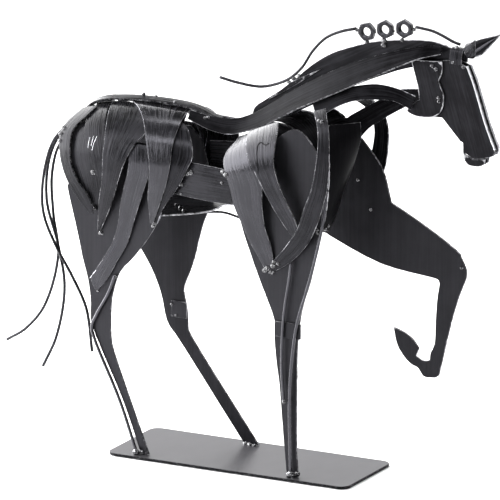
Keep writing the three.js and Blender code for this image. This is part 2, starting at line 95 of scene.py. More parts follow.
# Strips bent round the hips: rows of girth, rear edge and front edge, and how many strips lie under each
HIP_STRIPS = {
    "rump_strip": ([2, 1.4], [[9, -108, -98], [19, -112.3, -100], [31, -116.3, -106], [44, -116, -106],
                              [56, -114.2, -105], [65, -110, -101], [75, -103, -93], [86, -93, -90]]),
    "hip_backing_plate": ([0, 0], [[8, -106, -88], [30, -108, -86], [50, -108, -84], [65, -103, -82],
                                   [80, -97, -84]]),
    "hip_strip_1": ([1, 1], [[4, -104, -93], [17, -101, -88], [31, -98, -83], [41, -94, -79], [50, -90, -79],
                             [61, -86, -81]]),
    "hip_strip_2": ([2, 2, 2, 2, 2, 1.9, 1.2, 0.5],
                    [[3, -91, -60], [18, -86, -54], [28, -83, -56], [38, -81, -61], [50, -81, -66],
                     [63, -82, -71], [77, -86, -77], [97, -89, -87]]),
    "hip_strip_3": ([1, 0], [[36, -64, -52], [53, -64, -50], [66, -68, -54.5], [79, -72, -60], [92, -75, -65],
                             [103, -79, -69], [115, -86, -76], [127, -93.5, -83], [134, -91, -89]]),
    "hip_strip_4": ([3, 3, 3, 2.7, 2.3, 1.8, 1.3, 1],
                    [[2.5, -78, -37.8], [11, -68, -37.4], [22, -59, -36], [34, -53, -35.5], [48, -49, -35.5],
                     [60, -50, -38.5], [72, -52, -43.5], [87, -52, -50]]),
    "hip_strip_5": ([1.5, 1.5, 1, 0.5, 0],
                    [[16, -50, -36], [20, -48, -31], [31, -46, -24.5], [40, -45, -22.5], [50, -46, -25.5],
                     [62, -49, -32], [76, -50.5, -42.5], [87, -51, -48]]),
}
SHOULDER_STRIPS = {
    "shoulder_strip_1": ([1, 0], [[13, 0, 9], [19, 0, 10], [27, -2, 13], [36, -2, 17], [49, 1, 22],
                                  [58, 4, 26], [67, 6, 25.5], [78, 11, 26], [88, 16, 29], [99, 24, 31]]),
    "shoulder_strip_2": ([2, 0.6], [[14, 8, 28], [24, 11, 32], [35, 15, 34], [46, 20, 35], [56, 26, 38],
                                    [66, 32, 43], [76, 39, 48], [84, 46, 49]]),
    "shoulder_strip_3": ([3, 1.6], [[16, 53, 61], [25, 59, 66], [34, 63, 70], [46, 64, 72], [58, 61, 71],
                                    [68, 55, 67], [78, 49, 61], [86, 41, 54], [94, 32, 43], [99, 28, 33]]),
}
# Strips whose finish isn't the plain brushed one
STRIP_FINISH = {"hip_backing_plate": "dull_strip", "rump_strip": "dull_strip", "hip_strip_1": "dull_strip",
                "hip_strip_2": "side_strip", "hip_strip_5": "side_strip", "shoulder_strip_2": "satin_strip",
                "shoulder_strip_3": "side_strip"}
# On the left: how many rows a strip keeps, and how far its rear and front edges move
LEFT_CHANGES = {"hip_strip_3": (6, 0, 0), "hip_strip_4": (8, -2, 0), "shoulder_strip_3": (8, 2.6, 5)}

# Weld beads, by what they join: for each, the pixel of the photo that it is placed behind, and its radius
WELDS = {
    "mane": [(289, 82, 1.2), (294, 79, 1.5), (299, 76, 1.3), (384, 41, 1.8), (384, 45, 1.7), (402, 40, 1.3),
             (375, 32, 0.9), (393.5, 31, 0.9), (367, 42, 1.3), (357, 30, 1.1), (414, 29.5, 1.1),
             (457, 48, 1.3)],
    "spine": [(205, 118, 1), (208, 117.5, 1.1), (144, 94, 1.1), (156, 96.5, 1), (175, 102, 1), (64, 128, 1.5),
              (61, 134, 1.5), (60, 141, 1.4)],
    "hip": [(94, 208, 1.7), (93.5, 172, 1.7), (101, 233, 1.6), (154, 223, 1.5), (153, 226, 1.2),
            (98, 291, 0.9)],
    "flank": [(190, 172, 2), (187.5, 174, 1.4), (181, 184, 1.6), (223, 172, 1.6), (226, 175, 1.6),
              (222, 183, 1.1), (181, 194, 1), (177, 205, 1.4), (181, 208, 1.6), (184, 211, 1.3)],
    "foot": [(136, 452, 2), (138, 454, 1.8), (141, 453, 2.2), (144.5, 454, 1.7), (134.5, 453, 1.5),
             (246, 444, 2), (250, 445, 1.8), (254, 446, 1.4), (290.5, 474, 2), (289, 475, 1.8),
             (294.5, 475, 2), (297.5, 474, 1.6)],
    "leg": [(172, 304, 1.1), (176, 315, 0.9), (358, 180, 1.1), (371, 209.5, 1.2), (461.5, 268, 1.1),
            (284, 402, 1.4), (116, 277, 1.2)],
    "shoulder": [(265, 270, 1.8), (272, 271, 2.3), (268, 268.5, 1.7), (273, 266, 1.7), (274, 262, 1.3),
                 (278, 264, 1.2), (319, 121, 1.3), (322, 122, 1.2), (317, 229, 1.5), (318, 233, 1.2),
                 (325, 229, 1.1), (328, 226, 1)],
    "head": [(432, 66, 1.3), (436, 69, 1.5), (438.5, 98, 1.3), (438.5, 101.5, 1.1), (453, 62.5, 1.1),
             (463, 67, 1.2)],
}
# Paint scratches, and the wrinkle in the shoulder's paint, as the photo pixels that each is placed behind
SCRATCHES = [
    [(90, 137), (88.5, 143), (88, 148)],
    [(97, 136), (94, 143), (92, 150)],
    [(93.5, 136), (92.3, 141), (91, 146)],
    [(96, 270), (93, 274), (90, 278)],
]
WRINKLE = [(269, 143), (266, 145), (261, 142.5), (258.5, 144), (257, 150), (257, 160), (258, 170), (258, 180)]
# Front edge of the head plates, and the line of the bridge strip just behind it, as x and z
HEAD_FRONT = [(147.1, 263.3), (151.2, 253.9), (155.3, 242), (159.3, 230), (163.4, 220), (166, 214.3)]
BRIDGE_RUN = [(146, 262.9), (150.3, 252.9), (154.4, 241), (158.4, 229.2), (162.6, 218.9), (165.2, 211.8)]
SEAM_AND_HIGHLIGHT_RADIUS = 0.72
SCRATCH_RADIUS = 0.12
WRINKLE_RADIUS = 0.32
BEAD_FLOOR = 0.4
FLOOR_DROP = 0.5


class StripSizes(bpy.types.PropertyGroup):
    """The stock that the horse is made of."""
    edge_round: bpy.props.FloatProperty(
        name="Edge rounding", description="Radius of the sheared edges", default=0.00018, unit="LENGTH")
    wire_radius: bpy.props.FloatProperty(
        name="Wire radius", description="Tail and mane wires", default=0.00095, unit="LENGTH")
    rod_radius: bpy.props.FloatProperty(
        name="Rod radius", description="Rods along the legs", default=0.001, unit="LENGTH")
    unevenness: bpy.props.FloatProperty(
        name="Hand-bent unevenness", description="How far a strip strays from a true curve",
        default=0.00022, unit="LENGTH")
    bead_radius: bpy.props.FloatProperty(
        name="Weld bead size", description="What one unit of the bead table measures", default=0.001,
        unit="LENGTH")


class PaintLook(bpy.types.PropertyGroup):
    """The black paint and the steel that shows through it."""
    paint: bpy.props.FloatVectorProperty(
        name="Paint", description="Black paint on strips and plates", subtype="COLOR", size=3,
        default=(0.017, 0.0168, 0.0195))
    base: bpy.props.FloatVectorProperty(
        name="Base paint", description="Powder coat of the base plate", subtype="COLOR", size=3,
        default=(0.037, 0.036, 0.039))
    steel: bpy.props.FloatVectorProperty(
        name="Bare steel", description="Steel at worn edges and weld flecks", subtype="COLOR", size=3,
        default=(0.4, 0.4, 0.42))
    wear: bpy.props.FloatProperty(
        name="Edge wear", description="Width of the worn line along an edge, in millimetres", default=0.22,
        min=0, max=2)


class StudioLook(bpy.types.PropertyGroup):
    """The pale floor, the soft boxes and the camera."""
    floor: bpy.props.FloatVectorProperty(
        name="Floor", description="Pale studio floor", subtype="COLOR", size=3, default=(0.95, 0.95, 0.95))
    side_light: bpy.props.FloatProperty(
        name="Side box", description="Radiance of the large box beside the tail", default=11, min=0)
    tube_light: bpy.props.FloatProperty(
        name="Overhead boxes", description="Radiance of the three long boxes over the horse", default=10,
        min=0)
    back_light: bpy.props.FloatProperty(
        name="Back panel", description="Radiance of the panel beyond the horse", default=1.6, min=0)
    ambient: bpy.props.FloatProperty(
        name="Room light", description="Strength of the plain room light", default=0.14, min=0)
    lens: bpy.props.FloatProperty(
        name="Lens", description="Focal length of the camera", default=1000, unit="CAMERA")


# Shader nodes

class Value:
    """A shader socket that can stand in a sum."""

    def __init__(self, finish, socket):
        self.finish = finish
        self.socket = socket

    def __add__(self, other):
        return self.finish.maths("ADD", self, other)

    def __mul__(self, other):
        return self.finish.maths("MULTIPLY", self, other)

    def __sub__(self, other):
        return self.finish.maths("SUBTRACT", self, other)


class Finish:
    """A material under construction, with its Principled shader."""

    def __init__(self, name):
        self.material = bpy.data.materials.new(name)
        self.material.use_nodes = True
        self.nodes = self.material.node_tree.nodes
        self.links = self.material.node_tree.links
        self.shader = self.nodes["Principled BSDF"]

    def plug(self, socket, value):
        if isinstance(value, Value):
            self.links.new(value.socket, socket)
        elif value is not None:
            socket.default_value = value

    def node(self, kind, settings=None, values=None, output=0):
        made = self.nodes.new(kind)
        for key, value in (settings or {}).items():
            setattr(made, key, value)
        for key, value in (values or {}).items():
            self.plug(made.inputs[key], value)
        return Value(self, made.outputs[output])

    def maths(self, operation, *values):
        return self.node("ShaderNodeMath", {"operation": operation}, dict(enumerate(values)))

    def noise(self, where, scale, detail=2.0, roughness=0.5):
        return self.node("ShaderNodeTexNoise", {"noise_dimensions": "3D"},
                         {"Vector": where, "Scale": scale, "Detail": detail, "Roughness": roughness})

    def mixed(self, share, first, second):
        """A colour between two, by a share from 0 to 1."""
        return self.node("ShaderNodeMix", {"data_type": "RGBA"}, {0: share, 6: first, 7: second}, output=2)

    def ramp(self, value, low, high, low_out=0.0, high_out=1.0):
        """Value from low to high turned into low_out to high_out, smoothly and within them."""
        return self.node("ShaderNodeMapRange", {"interpolation_type": "SMOOTHSTEP"},
                         {0: value, 1: low, 2: high, 3: low_out, 4: high_out})

    def set(self, **values):
        for key, value in values.items():
            self.plug(self.shader.inputs[key.replace("_", " ")], value)


def rgba(colour, factor=1.0):
    return (*[channel * factor for channel in colour], 1.0)


def painted_steel(name, grain, look, *, across=900.0, along=26.0, turn=(0, 0, 0), streak=1.0, gloss=0.3,
                  wear=1.0, coat="paint", mottle=0.5, tone=0.7, ior=1.5):
    """Black paint brushed on steel, its coat one of the look's paints. The grain is "uv" for strokes along a
    strip, or "object" for strokes along the object's Z axis, turned by `turn`."""
    finish = Finish(name)
    paint = [channel * tone for channel in getattr(look, coat)]
    if grain == "uv":
        spot = finish.node("ShaderNodeUVMap", {"uv_map": "stock"})
        stretch = (along, across, 1.0)
    else:
        spot = finish.node("ShaderNodeTexCoord", output=3)
        stretch = (across, across * 0.5, along)
    place = finish.node("ShaderNodeTexCoord", output=3)
    mapping = {"vector_type": "POINT"}
    turned = finish.node("ShaderNodeMapping", mapping, {"Vector": spot, "Rotation": turn})
    strokes = finish.node("ShaderNodeMapping", mapping, {"Vector": turned, "Scale": stretch})
    fine = finish.noise(strokes, 1.0, detail=3.0, roughness=0.65)
    broad = finish.noise(strokes, 0.22, detail=2.0, roughness=0.5)
    patches = finish.noise(place, 60.0, detail=3.0, roughness=0.6)
    specks = finish.noise(place, 900.0, detail=2.0, roughness=0.7)
    rim = finish.node("ShaderNodeAttribute", {"attribute_name": "rim"}, output=2)
    edge_noise = finish.noise(place, 240.0, detail=3.0, roughness=0.6)
    # Worn edges; widened on the bridge strip, where they are partly a painted highlight
    reach = (edge_noise - 0.3) * (3.2 * look.wear * wear)
    worn = finish.ramp((reach - rim) + (specks - 0.5) * 0.5, 0.0, 0.28)
    dry = (finish.ramp(fine * 0.6 + broad * 0.4 + (patches - 0.5) * 0.35, 0.62, 0.8)
           * (0.2 * streak * tone ** 2))
    bare = finish.node("ShaderNodeMath", {"operation": "MAXIMUM"}, {0: worn, 1: dry})
    stroke = finish.ramp(fine * 0.65 + broad * 0.35 + (patches - 0.5) * mottle, 0.36, 0.64)
    contrast = min(streak, 1)
    shade = finish.mixed(stroke, rgba(paint, 1 - 0.75 * contrast), rgba(paint, 1 + 1.2 * contrast))
    finish.set(
        Base_Color=finish.mixed(bare, shade, rgba(look.steel)),
        Metallic=bare * 0.9,
        Roughness=finish.ramp(fine + (patches - 0.5) * 0.5, 0.25, 0.75, gloss - 0.07 * streak,
                              gloss + 0.13 * streak),
        IOR=ior,
        Specular_Tint=(0.9, 0.89, 1.0, 1.0),
        Normal=finish.node("ShaderNodeBump", {}, {
            "Strength": 0.6 * min(streak, 1.6), "Distance": 0.00026,
            "Height": fine * 0.7 + broad * 1.1 + specks * 0.12 + patches * 0.5}),
    )
    return finish.material


def weld_metal(name, look, low=0.54, high=0.66, steel=1.3, gloss=0.12):
    """Weld under a thin coat, bright where the coat has chipped, between two levels of the flecks."""
    finish = Finish(name)
    place = finish.node("ShaderNodeTexCoord", output=3)
    flecks = finish.noise(place, 1500.0, detail=2.0, roughness=0.6)
    lumps = finish.noise(place, 700.0, detail=2.0, roughness=0.5)
    bright = finish.ramp(flecks * 0.7 + lumps * 0.3, low, high)
    finish.set(
        Base_Color=finish.mixed(bright, rgba(look.paint, 1.2), rgba(look.steel, steel)),
        Metallic=bright * 0.9 + 0.1,
        Roughness=finish.ramp(lumps, 0.3, 0.7, gloss, gloss + 0.18),
        IOR=1.6,
        Normal=finish.node("ShaderNodeBump", {}, {
            "Strength": 0.7, "Distance": 0.0002, "Height": lumps + flecks * 0.4}),
    )
    return finish.material


def floor_paint(name, look):
    """Plain pale floor with a faint grain."""
    finish = Finish(name)
    place = finish.node("ShaderNodeTexCoord", output=3)
    grain = finish.noise(place, 40.0, detail=2.0)
    finish.set(
        Base_Color=finish.mixed(finish.ramp(grain, 0.3, 0.7), rgba(look.floor, 0.985), rgba(look.floor)),
        Roughness=0.85,
    )
    return finish.material


# Grain of the flat plates, the head plates and the round bars
PLATE_GRAIN = dict(across=700, along=14)
HEAD_GRAIN = dict(across=800, along=40, turn=(0, math.radians(17), 0))
BAR_GRAIN = dict(across=500, along=120, streak=0.5, wear=0)
EVEN_GRAIN = dict(across=500, along=500, streak=0.12, mottle=0.1)

# Each painted finish: its material's name, where its grain comes from, and how it differs from plain paint
PAINTS = {
    "strip": ("strip_brushed_black", "uv", dict(gloss=0.17, streak=1.1, wear=1.1, ior=1.43, tone=0.36)),
    "dull_strip": ("strip_dull_black", "uv", dict(gloss=0.26, streak=1.8, wear=0.3, ior=1.2, tone=0.32)),
    "side_strip": ("strip_satin_black", "uv", dict(gloss=0.26, streak=0.9, wear=1.4, ior=1.26, tone=0.36)),
    "satin_strip": ("strip_wrinkled_black", "uv", dict(gloss=0.2, streak=1.4, wear=1.6, ior=1.3, tone=0.5)),
    # painted shade: a darker copy of the paint with weaker reflection, on the neck bands, the throat strips
    # and the far shoulder strips
    "neck_strip": ("neck_brushed_black", "uv", dict(gloss=0.24, streak=0.9, ior=1.1, tone=0.26)),
    # painted shade: a darker copy of the paint with weaker reflection, for the chest plate's shade; the paint
    # wrinkle is drawn in it too
    "chest": ("chest_dark_black", "uv", dict(gloss=0.35, streak=0.25, wear=1.6, ior=1.12, tone=0.2)),
    # The bridge strip's wide bright steel edges are partly worn steel and partly a painted highlight
    "bridge": ("bridge_worn_black", "uv", dict(wear=5, ior=1.3, tone=0.4)),
    "saddle": ("saddle_streaked_black", "uv", dict(gloss=0.22, streak=1.5, wear=0.8, ior=1.26, tone=0.5)),
    "leg": ("leg_satin_black", "object", dict(
        gloss=0.36, streak=0.3, wear=0.6, ior=1.32, tone=0.4, **PLATE_GRAIN)),
    # painted shade: the far leg plates take a copy of the leg paint with weaker reflection and its own tone,
    # for the lesser light on the far side
    "far_leg": ("far_leg_satin_black", "object", dict(
        gloss=0.36, streak=0.3, wear=0.6, ior=1.24, tone=0.45, **PLATE_GRAIN)),
    "crest": ("crest_brushed_black", "object", dict(
        gloss=0.34, streak=0.9, ior=1.2, tone=0.36, turn=(0, math.radians(-62), 0))),
    "head": ("head_brushed_black", "object", dict(gloss=0.36, streak=0.6, ior=1.19, tone=0.4, **HEAD_GRAIN)),
    "cheek": ("cheek_brushed_black", "object", dict(
        gloss=0.36, streak=0.6, wear=3, ior=1.19, tone=0.4, **HEAD_GRAIN)),
    "base": ("base_powder_coat", "object", dict(
        coat="base", gloss=0.33, wear=0.25, ior=1.41, tone=1, **EVEN_GRAIN)),
    # painted shade: the base plate's side faces take this darker copy of the paint, with weaker reflection
    "base_edge": ("base_edge_black", "object", dict(gloss=0.4, wear=0, ior=1.12, tone=0.3, **EVEN_GRAIN)),
    "wire": ("wire_gloss_black", "object", dict(gloss=0.26, ior=1.3, tone=0.5, **BAR_GRAIN)),
    "rod": ("rod_gloss_black", "object", dict(gloss=0.16, ior=1.6, **BAR_GRAIN)),
    "nut": ("nut_worn_black", "object", dict(
        gloss=0.28, streak=0.8, ior=1.38, tone=0.6, across=600, along=600)),
}
METALS = {
    "weld": ("weld_bead_metal", {}),
    # Bright bare steel for the paint scratches and the bridge lines; on the bridge lines its brightness is
    # partly a painted highlight
    "bare": ("bare_ground_steel", dict(low=0.26, high=0.42, steel=2.2, gloss=0.42)),
}
FINISHES = {}
PIECES = []


def finish_for(context, kind):
    """The material of that kind, made when it is first asked for."""
    look = context.scene.horse_paint
    if kind not in FINISHES:
        if kind in PAINTS:
            name, grain, traits = PAINTS[kind]
            FINISHES[kind] = painted_steel(name, grain, look, **traits)
        else:
            name, traits = METALS[kind]
            FINISHES[kind] = weld_metal(name, look, **traits)
    return FINISHES[kind]


# Curves and surfaces

def smooth_point(points, share):
    """A point on the centripetal curve through the points, by its share of their number."""
    place = (len(points) - 1) * share
    first = min(int(place), len(points) - 2)
    weight = place - first
    at = [Vector(p) for p in points]
    before = at[first - 1] if first > 0 else at[0] * 2 - at[1]
    start, end = at[first], at[first + 1]
    after = at[first + 2] if first + 2 < len(at) else at[-1] * 2 - at[-2]
    steps = [max((b - a).length ** 0.5, 1e-4) for a, b in ((before, start), (start, end), (end, after))]
    leave = ((start - before) / steps[0] - (end - before) / (steps[0] + steps[1])
             + (end - start) / steps[1]) * steps[1]
    arrive = ((end - start) / steps[1] - (after - start) / (steps[1] + steps[2])
              + (after - end) / steps[2]) * steps[1]
    square, cube = weight ** 2, weight ** 3
    return (start * (2 * cube - 3 * square + 1) + leave * (cube - 2 * square + weight)
            + end * (3 * square - 2 * cube) + arrive * (cube - square))


def on_barrel(barrel, x, girth, lift):
    """A point `lift` outside a barrel's right side, by its girth from 0 at the spine to 100 at the leg."""
    off = (x - barrel["centre"]) / (barrel["rump"] + lift)
    if off < 0 or barrel["taper"] == 0:
        full = (1 - min(abs(off), 0.999) ** barrel["power"]) ** (1 / barrel["power"])
    else:
        full = 1 - barrel["taper"] * off ** 2
    wide = (barrel["wide"] + lift) * full
    belt = barrel["belt"](x)
    if girth < 50:
        turn = math.pi * girth / 100
        return Vector((x, -wide * math.sin(turn), belt + (barrel["rise"](x) + lift) * full * math.cos(turn)))
    down = (girth - 50) / 50
    ease = (1 - math.cos(math.pi * min(down, 1))) / 2
    return Vector((x, -wide + (wide - SEAM_SIDE - lift) * ease, belt + (barrel["seam"] - belt) * down))


def barrel_sheet(barrel, rows, layers):
    """The middle surface of a strip bent round a barrel, as a function of its shares along and across."""
    def place(u, v):
        girth, rear, front = smooth_point(rows, u)
        step = min(int(u * (len(layers) - 1)), len(layers) - 2)
        part = u * (len(layers) - 1) - step
        lift = (layers[step] + (layers[step + 1] - layers[step]) * part) * LAYER + SHEET / 2
        return on_barrel(barrel, rear + (front - rear) * v, girth, lift)
    return place


def ribbon_sheet(edge_a, edge_b, bulge=0.0):
    """The middle surface of a strip between two smooth edges, bulging across its middle."""
    def place(u, v):
        a, b = smooth_point(edge_a, u), smooth_point(edge_b, u)
        low, high = max(u - 0.01, 0), min(u + 0.01, 1)
        ahead = (smooth_point(edge_a, high) + smooth_point(edge_b, high)
                 - smooth_point(edge_a, low) - smooth_point(edge_b, low))
        out = ahead.cross(b - a).normalized()
        return a.lerp(b, v) + out * (bulge * 4 * v * (1 - v))
    return place


def linked(name, data):
    """A new object in the scene that shows the data."""
    made = bpy.data.objects.new(name, data)
    bpy.context.scene.collection.objects.link(made)
    return made


def shown(mesh_name, bm, materials, node=None):
    """Makes the finished piece, sets its paint and puts it in the CAD node's place."""
    mesh = bpy.data.meshes.new(mesh_name)
    bm.to_mesh(mesh)
    bm.free()
    piece = linked(mesh_name, mesh)
    for material in materials:
        mesh.materials.append(material)
    for polygon in mesh.polygons:
        polygon.use_smooth = True
    PIECES.append(piece)
    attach(piece, "root")
    if node:
        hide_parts(node)
    return piece


def thickened(piece, thick, edge_round):
    """Gives a sheet its thickness and rounds its sheared edges."""
    wall = piece.modifiers.new("thickness", "SOLIDIFY")
    wall.thickness = thick * MM
    wall.offset = 0
    wall.use_even_offset = True
    edge = piece.modifiers.new("sheared_edge", "BEVEL")
    edge.width = edge_round
    edge.segments = 2
    edge.limit_method = "ANGLE"
    edge.angle_limit = math.radians(50)
    shade = piece.modifiers.new("flat_faces", "WEIGHTED_NORMAL")
    shade.weight = 80
    return piece


def sheet_piece(context, name, place, *, along=44, across=8, thick=SHEET, side=1, kind="strip", seed=0):
    """A bent sheet with its grain along it. Side -1 is the mirror image, for the left."""
    sizes = context.scene.horse_sizes
    bm = bmesh.new()
    bmesh.ops.create_grid(bm, x_segments=along, y_segments=across, size=0.5, calc_uvs=True)
    rim = bm.verts.layers.float.new("rim")
    grain = bm.loops.layers.uv.new("stock")
    shares = {vert: (vert.co.x + 0.5, vert.co.y + 0.5) for vert in bm.verts}
    middle = [place(i / 24, 0.5) for i in range(25)]
    length = sum((b - a).length for a, b in zip(middle, middle[1:]))
    widest = max((place(i / 8, 1.0) - place(i / 8, 0.0)).length for i in range(9))
    for face in bm.faces:
        for loop in face.loops:
            u, v = shares[loop.vert]
            loop[grain].uv = ((u * length + seed * 37.0) * MM, (v * widest + seed * 61.0) * MM)
    for vert, (u, v) in shares.items():
        spot = place(u, v)
        across_here = (place(u, 1.0) - place(u, 0.0)).length
        vert[rim] = min(v * across_here, (1 - v) * across_here, u * length + 0.8, (1 - u) * length + 0.2)
        sway = noise.noise(Vector((spot.x * 0.045, spot.z * 0.045, seed * 3.7)))
        ripple = noise.noise(Vector((spot.x * 0.15, spot.z * 0.15, seed * 5.1 + 9)))
        vert.co = Vector((spot.x, spot.y * side, spot.z)) * MM
        stray = (sway * 0.7 + ripple * 0.3) * sizes.unevenness * min(1, vert[rim] / 2)
        vert.co += Vector((0, side, 0)) * stray
    if side < 0:
        bmesh.ops.reverse_faces(bm, faces=bm.faces[:])
    piece = shown(name + "_sheet", bm, [finish_for(context, kind)], name)
    return thickened(piece, thick, sizes.edge_round)


def cad_outline(name):
    """The corners of a flat CAD plate's outline, in order, and the middle of its thickness."""
    bm = bmesh.new()
    bm.from_mesh(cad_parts[name].data)
    bmesh.ops.remove_doubles(bm, verts=bm.verts[:], dist=2e-6)
    bmesh.ops.dissolve_limit(bm, angle_limit=math.radians(1), verts=bm.verts[:], edges=bm.edges[:])
    side = max((face for face in bm.faces if face.normal.y < -0.9), key=lambda face: face.calc_area())
    points = [vert.co.copy() for vert in side.verts]
    bm.free()
    low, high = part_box(name)
    return points, (low.y + high.y) / 2


def smoothed_outline(points, corner_angle, steps=4):
    """The outline with its gentle bends rounded and its corners kept."""
    count = len(points)
    corners = []
    for i in range(count):
        arrive = points[i] - points[i - 1]
        leave = points[(i + 1) % count] - points[i]
        if arrive.angle(leave) > corner_angle:
            corners.append(i)
    out = []
    for first, last in zip(corners, corners[1:] + [corners[0] + count]):
        run = [points[i % count] for i in range(first, last + 1)]
        if len(run) == 2:
            out.append(run[0])
            continue
        pieces = (len(run) - 1) * steps
        out.extend(smooth_point([p / MM for p in run], i / pieces) * MM for i in range(pieces))
    return out


def edge_distance(spot, outline):
    """The least distance from a point to the outline, in the plate's plane."""
    least = 1.0
    for a, b in zip(outline, outline[1:] + outline[:1]):
        run = b - a
        share = max(0.0, min(1.0, (spot - a).dot(run) / max(run.length_squared, 1e-12)))
        least = min(least, (spot - a - run * share).length)
    return least


def plate_piece(context, name, *, thick=LEG_THICK, kind="leg", corner=24, cell=3):
    """A flat plate with the CAD node's outline, smoother, cut into cells so that it can stray from flat."""
    sizes = context.scene.horse_sizes
    points, middle = cad_outline(name)
    outline = smoothed_outline(points, math.radians(corner))
    bm = bmesh.new()
    face = bm.faces.new([bm.verts.new((p.x, middle, p.z)) for p in outline])
    face.normal_update()
    if face.normal.y > 0:
        face.normal_flip()
    for axis, along in (("x", Vector((1, 0, 0))), ("z", Vector((0, 0, 1)))):
        low = min(getattr(p, axis) for p in outline)
        high = max(getattr(p, axis) for p in outline)
        cut = low + cell * MM
        while cut < high - 0.5 * MM:
            bmesh.ops.bisect_plane(bm, geom=bm.verts[:] + bm.edges[:] + bm.faces[:], dist=1e-7,
                                   plane_co=along * cut, plane_no=along)
            cut += cell * MM
    bmesh.ops.remove_doubles(bm, verts=bm.verts[:], dist=0.4 * MM)
    rim = bm.verts.layers.float.new("rim")
    flat = [Vector((p.x, middle, p.z)) for p in outline]
    for vert in bm.verts:
        vert[rim] = 0.0 if vert.is_boundary else edge_distance(vert.co, flat) / MM
    for vert in bm.verts:
        sway = noise.noise(Vector((vert.co.x * 22, vert.co.z * 22, 1)))
        vert.co.y += sway * sizes.unevenness * 0.8
    piece = shown(name + "_sheet", bm, [finish_for(context, kind)], name)
    return thickened(piece, thick, sizes.edge_round)


def next_ring(bm, edges):
    """Carries a loop of edges on to a new loop, and gives that loop's corners and edges."""
    made = bmesh.ops.extrude_edge_only(bm, edges=edges)["geom"]
    ring = [item for item in made if isinstance(item, bmesh.types.BMVert)]
    return ring, [item for item in made if isinstance(item, bmesh.types.BMEdge)
                  and all(vert in ring for vert in item.verts)]


def round_bar(points, radius, steps, sides):
    """A round bar through the points."""
    bm = bmesh.new()
    path = [smooth_point(points, i / steps) * MM for i in range(steps + 1)]
    made = bmesh.ops.create_circle(bm, cap_ends=True, segments=sides, radius=radius)
    ring = made["verts"]
    edges = bm.edges[:]
    shape = [vert.co.copy() for vert in ring]
    up = Vector((0, 1, 0))
    for i, spot in enumerate(path):
        ahead = (path[min(i + 1, steps)] - path[max(i - 1, 0)]).normalized()
        side = ahead.cross(up).normalized()
        turn = Matrix((side, side.cross(ahead), ahead)).transposed()
        if i:
            ring, edges = next_ring(bm, edges)
        for vert, spread in zip(ring, shape):
            vert.co = spot + turn @ spread
    bmesh.ops.contextual_create(bm, geom=edges)
    bmesh.ops.recalc_face_normals(bm, faces=bm.faces[:])
    rim = bm.verts.layers.float.new("rim")
    for vert in bm.verts:
        vert[rim] = 3.0
    return bm


def wire_piece(context, name, points, radius, steps=60, sides=12, kind="wire"):
    """A round wire in the place of a CAD wire."""
    bar = round_bar(points, radius, steps, sides)
    return shown(name + "_round", bar, [finish_for(context, kind)], name)


def block_piece(context, name):
    """A small flat patch in the place of a CAD box, with rounded edges."""
    low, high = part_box(name)
    bm = bmesh.new()
    bmesh.ops.create_cube(bm, size=1, matrix=Matrix.Translation((low + high) / 2)
                          @ Matrix.Diagonal((*(high - low), 1)))
    bmesh.ops.subdivide_edges(bm, edges=bm.edges[:], cuts=4, use_grid_fill=True)
    rim = bm.verts.layers.float.new("rim")
    for vert in bm.verts:
        near = sorted(min(vert.co[i] - low[i], high[i] - vert.co[i]) for i in (0, 2))
        vert[rim] = near[0] / MM
    piece = shown(name + "_patch", bm, [finish_for(context, "leg")], name)
    edge = piece.modifiers.new("worn_edge", "BEVEL")
    edge.width = context.scene.horse_sizes.edge_round
    edge.segments = 2
    edge.angle_limit = math.radians(50)
    piece.modifiers.new("flat_faces", "WEIGHTED_NORMAL")
    return piece


# The photo's line of sight

def camera_frame(lens):
    """The camera's place, and its right, up and back directions."""
    level = math.cos(CAMERA_TILT)
    back = Vector((math.sin(CAMERA_TURN) * level, -math.cos(CAMERA_TURN) * level, math.sin(CAMERA_TILT)))
    right = Vector((math.cos(CAMERA_TURN), math.sin(CAMERA_TURN), 0))
    return CAMERA_AIM + back * (VIEW_WIDTH * lens / SENSOR), right, back.cross(right), back


class Sight:
    """Finds on the built horse what a pixel of the photo shows."""

    def __init__(self, context):
        self.eye, self.right, self.up, _ = camera_frame(context.scene.horse_studio.lens)
        context.view_layer.update()
        built = context.evaluated_depsgraph_get()
        self.trees = [BVHTree.FromObject(piece, built) for piece in PIECES]

    def spot(self, u, v):
        """The horse's nearest point behind the pixel, or else where the line meets its middle plane."""
        pixel = VIEW_WIDTH / PHOTO_PIXELS
        across, down = u - PHOTO_PIXELS / 2, v - PHOTO_PIXELS / 2
        aim = CAMERA_AIM + self.right * (across * pixel) - self.up * (down * pixel)
        ahead = (aim - self.eye).normalized()
        hits = [hit for hit in (tree.ray_cast(self.eye, ahead) for tree in self.trees) if hit[0]]
        if hits:
            return min(hits, key=lambda hit: hit[3])[0]
        return self.eye - ahead * (self.eye.y / ahead.y)


# Operators

